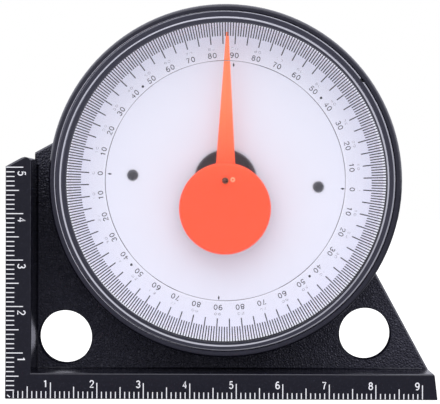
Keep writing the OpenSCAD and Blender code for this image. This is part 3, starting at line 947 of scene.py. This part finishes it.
class INCLINOMETER_OT_rulers(Make):
    """Stamp the centimetre rulers on the foot and the side flange"""

    bl_idname = "inclinometer.rulers"
    bl_label = "Rulers"

    def execute(self, context):
        look = context.scene.inclinometer_ruler
        white = ink("ruler_ink", look.ink, 0.45)
        corner = Vector((FRAME_LOW.x, FRAME_LOW.y + look.ink_depth / 2, FRAME_LOW.z))
        foot_zero = corner + Vector((look.foot_zero, 0, 0))
        side_zero = corner + Vector((0, 0, look.side_zero))
        ten = 10 * look.pitch

        def stamp(name, mesh):
            new_object(name, mesh, white, "frame")

        left_out = look.first_mark - 1
        tree = ruler_tree(white)
        shared = {
            "First": float(look.first_mark),
            "Pitch": look.pitch,
            "Width": look.mark_width,
            "Depth": look.ink_depth,
            "Start": look.mark_start,
        }
        foot = shared | {
            "Count": look.foot_marks - left_out,
            "Small": look.foot_small,
            "Half": look.foot_half,
            "Full": look.foot_full,
            "Fall": look.foot_fall,
            "Rise": 1.0,
            "Place": foot_zero,
            "Turn": (0, 0, 0),
        }
        side = shared | {
            "Count": look.side_marks - left_out,
            "Small": look.side_small,
            "Half": look.side_half,
            "Full": look.side_full,
            "Fall": 0.0,
            "Rise": -1.0,
            "Place": side_zero,
            "Turn": (0, -math.pi / 2, 0),
        }
        stamp("foot_ruler_marks", tree.mesh(foot))
        stamp("side_ruler_marks", tree.mesh(side))

        sign = bmesh.new()
        spot = Matrix.Translation(corner + Vector((look.corner_right, 0, look.corner_up)))
        slant = Matrix.Rotation(look.corner_turn, 4, "Y")
        sign_width = 1.1 * look.mark_width
        size = Matrix.Diagonal((sign_width, look.ink_depth, look.corner_long, 1))
        bmesh.ops.create_cube(sign, size=1.0, matrix=spot @ slant @ size)
        stamp("corner_mark", as_mesh(sign))

        numbers = Lettering(look.digit_height, look.digit_stroke, look.ink_depth)
        for n in range(1, look.foot_marks // 10 + 1):
            spot = Vector((n * ten - look.digit_gap, 0, look.digit_up - 10 * n * look.foot_fall))
            numbers.add(n, Matrix.Translation(foot_zero + spot))
        stamp("foot_ruler_numbers", numbers.finish())

        side_height = 1.08 * look.digit_height
        side_gap = 1.2 * look.digit_gap
        numbers = Lettering(side_height, look.digit_stroke, look.ink_depth)
        sideways = Matrix.Rotation(math.radians(90), 4, "Y")
        for n in range(1, look.side_marks // 10 + 1):
            spot = Vector((look.digit_in, 0, n * ten - side_gap))
            numbers.add(n, Matrix.Translation(side_zero + spot) @ sideways)
        stamp("side_ruler_numbers", numbers.finish())
        return {"FINISHED"}


class INCLINOMETER_OT_capsule(Make):
    """Finish the cup, dish, hub, rivets and lens"""

    bl_idname = "inclinometer.capsule"
    bl_label = "Dial capsule"

    def execute(self, context):
        look = context.scene.inclinometer_dial
        cup = plain_black("cup_black", CUP_BLACK, 0.4)
        rivet = plain_black("rivet_black", RIVET_BLACK, 0.35)
        dress("capsule_cup", "capsule_shell", cup)
        dress("dial_dish", "white_dish", dish_white(look))
        dress("bearing_hub", "dark_hub", hub_dark())
        dress("dial_rivets", "round_rivets", rivet)
        dress("lens", "clear_lens", lens_clear(look))
        paint("lens_gasket", plain_black("gasket_black", GASKET_BLACK, 0.6))
        paint("hub_spacer", ink("spacer_white", SPACER_WHITE, 0.45))
        return {"FINISHED"}


class INCLINOMETER_OT_dial_print(Make):
    """Print the degree scale on the underside of the lens"""

    bl_idname = "inclinometer.dial_print"
    bl_label = "Dial print"

    def execute(self, context):
        look = context.scene.inclinometer_dial
        dark = ink("dial_ink", look.ink, 0.5)
        thickness = look.ink_thickness
        on_scale = LENS_LOW.y + look.lens_thickness + look.ink_gap + thickness / 2
        on_window = on_scale - look.window_depth
        middle = DIAL_AXIS + Vector((look.print_right, 0, -look.print_down))
        turned = Matrix.Rotation(look.turned, 4, "Y")
        scale_place = Vector((middle.x, on_scale, middle.z))
        scale = Matrix.Translation(scale_place) @ turned

        marks = {
            "Count": 360,
            "Width": look.tick_width,
            "Depth": thickness,
            "Outer": look.tick_outer,
            "Inner": look.tick_inner,
            "Long": look.tick_long,
            "Place": scale_place,
            "Turn": (0, look.turned, 0),
        }
        printed("degree_marks", ring_tree(dark).mesh(marks), dark)

        numbers_at = look.digit_inner + look.digit_height / 2
        numbers = Lettering(look.digit_height, look.digit_stroke, thickness, look.digit_spread)
        set_round(numbers, scale, numbers_at)
        printed("dial_numbers", numbers.finish(), dark)

        # A painted shadow of the numbers, small and pale, just outside them.
        number_shadow = Lettering(look.echo_height, look.digit_stroke * 0.7, thickness, look.echo_spread)
        set_round(number_shadow, scale, look.echo_inner + look.echo_height / 2)
        printed("painted_number_shadow", number_shadow.finish(), echo_ink(look))

        dots = bmesh.new()
        for corner in range(4):
            bmesh.ops.create_cone(
                dots,
                cap_ends=True,
                segments=20,
                radius1=look.dot,
                radius2=look.dot,
                depth=thickness,
                matrix=round_dial(scale, 45 + 90 * corner, numbers_at)
                @ Matrix.Rotation(math.pi / 2, 4, "X"),
            )
        printed("dial_dots", as_mesh(dots), dark)

        # A painted shade: a dark ring where the cup's wall lies in shade, lower than the axis so
        # that it is wider at the top.
        border = bmesh.new()
        place = Matrix.Translation((middle.x, on_scale, DIAL_AXIS.z - look.border_down))
        add_ring(border, place, look.border_inner, look.border_outer, thickness)
        printed("painted_rim_shade", as_mesh(border), dark)

        # A painted shadow line at the lens's step, with the step's edge.
        circle = bmesh.new()
        place = Matrix.Translation((DIAL_AXIS.x, on_window, DIAL_AXIS.z))
        add_ring(circle, place, look.window - look.circle_width, look.window, thickness)
        printed("painted_step_shadow", as_mesh(circle), faded_ink(look))

        crosses = bmesh.new()
        window = Matrix.Translation((middle.x, on_window, middle.z)) @ turned
        for quarter in range(4):
            place = round_dial(window, 90 * quarter, 0)
            add_lozenge(
                crosses, place, look.cross_inner, look.cross_outer, look.cross_width, thickness
            )
        printed("quarter_marks", as_mesh(crosses), dark)
        return {"FINISHED"}


def round_dial(centre, degrees, radius):
    """A place on a circle round the dial, upright towards the rim."""
    around = Matrix.Rotation(math.radians(degrees), 4, "Y")
    return centre @ around @ Matrix.Translation((0, 0, radius))


def set_round(letters, centre, radius):
    """Sets the numbers 90 to 0 and back, twice round the dial."""
    for degrees in range(0, 360, 10):
        letters.add(abs(90 - degrees % 180), round_dial(centre, degrees, radius))


def printed(name, mesh, material):
    """A piece of the dial's print or of its painted shade and shadows, too thin to shade the dish
    behind it.
    """
    piece = new_object(name, mesh, material, "capsule")
    piece.visible_shadow = False
    piece.visible_diffuse = False


def add_ring(work, placed, inner, outer, thickness, steps=256):
    """A flat ring about the y axis."""
    rings = []
    for radius, y in ((inner, -1), (outer, -1), (outer, 1), (inner, 1)):
        ring = []
        for i in range(steps):
            a = 2 * math.pi * i / steps
            spot = (radius * math.sin(a), y * thickness / 2, radius * math.cos(a))
            ring.append(work.verts.new(placed @ Vector(spot)))
        rings.append(ring)
    for here, there in zip(rings, rings[1:] + rings[:1]):
        for i in range(steps):
            j = (i + 1) % steps
            work.faces.new((here[i], here[j], there[j], there[i]))


def add_lozenge(work, placed, inner, outer, width, thickness):
    """A flat mark with pointed ends, along z."""
    waist = (inner + outer) / 2
    outline = [(0, inner), (width / 2, waist), (0, outer), (-width / 2, waist)]
    rings = []
    for y in (-thickness / 2, thickness / 2):
        rings.append([work.verts.new(placed @ Vector((x, y, z))) for x, z in outline])
    front, back = rings
    work.faces.new(front)
    work.faces.new(back[::-1])
    for i in range(4):
        j = (i + 1) % 4
        work.faces.new((front[i], back[i], back[j], front[j]))


class INCLINOMETER_OT_pointer(Make):
    """Finish the pointer, its bush, weight and pin"""

    bl_idname = "inclinometer.pointer"
    bl_label = "Pointer"

    def execute(self, context):
        look = context.scene.inclinometer_pointer
        dress("pointer", "orange_pointer", pointer_orange(look))
        paint("pointer_bush", bare_metal("bush_brass", BRASS, 0.4))
        steel = bare_metal("bright_steel", STEEL, 0.28)
        for node in ("counterweight", "spring_washer", "flat_washer"):
            paint(node, steel)
        paint("pivot_pin", bare_metal("blued_steel", BLUED, 0.35))
        dress("dial_screw", "rear_screw", steel)
        return {"FINISHED"}


class INCLINOMETER_OT_stage(Make):
    """Set the white floor, the lights and the camera"""

    bl_idname = "inclinometer.stage"
    bl_label = "Stage"

    def execute(self, context):
        look = context.scene.inclinometer_stage
        add_floor(look)
        add_lights(context.scene, look)
        add_camera(context.scene)
        context.scene.view_settings.view_transform = "Standard"
        return {"FINISHED"}


def seen_directly(finish):
    """1 for rays that show the background: from the camera, or through glass."""
    return finish.ray("Is Camera Ray").larger(finish.ray("Is Transmission Ray"))


def add_floor(look):
    """A round pale floor that looks white, keeps the part's shadow and is clear from below."""
    finish = Finish("pale_floor")
    shade = finish.mix(look.floor, look.floor_in_gloss, finish.ray("Is Glossy Ray"))
    matte = finish.node("ShaderNodeBsdfDiffuse", {"Color": shade})
    strength = seen_directly(finish) * look.floor_glow
    glow = finish.node("ShaderNodeEmission", {"Color": WHITE, "Strength": strength})
    top = finish.node("ShaderNodeAddShader", {0: matte, 1: glow})
    from_below = finish.node("ShaderNodeNewGeometry", out="Backfacing")
    shader = finish.blend(top, finish.open_air(), from_below)
    work = bmesh.new()
    bmesh.ops.create_circle(work, cap_ends=True, segments=96, radius=4.0)
    floor = bpy.data.objects.new("floor", as_mesh(work))
    for face in floor.data.polygons:
        if face.normal.z < 0:
            floor.data.flip_normals()
            break
    bpy.context.scene.collection.objects.link(floor)
    floor.data.materials.append(finish.done(shader))
    floor.visible_diffuse = False


def add_lights(scene, look):
    """A white world and one soft lamp above the part."""
    world = bpy.data.worlds.new("studio")
    scene.world = world
    world.use_nodes = True
    sky = NodeTree(world.node_tree)
    gloss = sky.ray("Is Glossy Ray")
    seen = seen_directly(sky)
    across, _, up = sky.axes("Generated")
    beside = (across * across + up * up).root()
    from_above = look.beside + up.rises(-0.2, 0.6) * (look.gloss_above - look.beside)
    in_front = look.gloss_front + abs(across).rises(0.0, 0.13) * look.gloss_ends
    in_gloss = in_front + beside.rises(0.5, 0.98) * (from_above - in_front)
    lit = look.soft_light + gloss * (in_gloss - look.soft_light)
    strength = lit + seen * (1 - lit)
    tint = sky.mix(WHITE, look.gloss_tint, gloss * (1 - seen))
    background = sky.node("ShaderNodeBackground", {"Color": tint, "Strength": strength})
    sky.finish("ShaderNodeOutputWorld", "Surface", background)

    lamp = bpy.data.lights.new("softbox", "AREA")
    lamp.shape = "RECTANGLE"
    lamp.size = 0.9
    lamp.size_y = 0.6
    lamp.energy = look.key_power
    softbox = bpy.data.objects.new("softbox", lamp)
    scene.collection.objects.link(softbox)
    stand = Vector((-0.05, -0.45, 0.65))
    aim = Vector((0, 0, 0.04))
    softbox.location = stand
    softbox.rotation_euler = (aim - stand).to_track_quat("-Z", "Y").to_euler()


def add_camera(scene):
    """The photograph's view, from straight in front of the dial."""
    lens_px = 1804.9
    frame_px = 440
    yaw, pitch, roll = (math.radians(degrees) for degrees in (0.553, 90.024, 0.138))
    place = Vector((3.44 * MM, FRAME_LOW.y - 388.1 * MM, 42.32 * MM))
    data = bpy.data.cameras.new("camera")
    data.sensor_fit = "HORIZONTAL"
    data.sensor_width = 36.0
    data.lens = lens_px / frame_px * data.sensor_width
    data.clip_start = 0.01
    data.clip_end = 20
    camera = bpy.data.objects.new("camera", data)
    scene.collection.objects.link(camera)
    camera.matrix_world = (
        Matrix.Translation(place)
        @ Matrix.Rotation(yaw, 4, "Z")
        @ Matrix.Rotation(pitch, 4, "X")
        @ Matrix.Rotation(roll, 4, "Z")
    )
    scene.camera = camera


class INCLINOMETER_PT_panel(bpy.types.Panel):
    """Sidebar panel with the part's operators and sizes"""

    bl_label = "Inclinometer"
    bl_space_type = "VIEW_3D"
    bl_region_type = "UI"
    bl_category = "Inclinometer"

    def draw(self, context):
        for operator in OPERATORS:
            self.layout.operator(operator.bl_idname)
        for attribute, group in GROUPS.items():
            box = self.layout.box()
            look = getattr(context.scene, attribute)
            for field in group.__annotations__:
                box.prop(look, field)


OPERATORS = (
    INCLINOMETER_OT_stage,
    INCLINOMETER_OT_frame,
    INCLINOMETER_OT_rulers,
    INCLINOMETER_OT_capsule,
    INCLINOMETER_OT_dial_print,
    INCLINOMETER_OT_pointer,
)
GROUPS = {
    "inclinometer_frame": FrameLook,
    "inclinometer_ruler": RulerLook,
    "inclinometer_dial": DialLook,
    "inclinometer_pointer": PointerLook,
    "inclinometer_stage": StageLook,
}


def register():
    for group in GROUPS.values():
        bpy.utils.register_class(group)
    for attribute, group in GROUPS.items():
        setattr(bpy.types.Scene, attribute, PointerProperty(type=group))
    for made in (*OPERATORS, INCLINOMETER_PT_panel):
        bpy.utils.register_class(made)


def unregister():
    for made in (INCLINOMETER_PT_panel, *reversed(OPERATORS)):
        bpy.utils.unregister_class(made)
    for attribute in GROUPS:
        delattr(bpy.types.Scene, attribute)
    for group in GROUPS.values():
        bpy.utils.unregister_class(group)


def main():
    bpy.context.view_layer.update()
    register()
    bpy.ops.inclinometer.stage()
    bpy.ops.inclinometer.frame()
    bpy.ops.inclinometer.rulers()
    bpy.ops.inclinometer.capsule()
    bpy.ops.inclinometer.dial_print()
    bpy.ops.inclinometer.pointer()


if __name__ == "__main__":
    main()
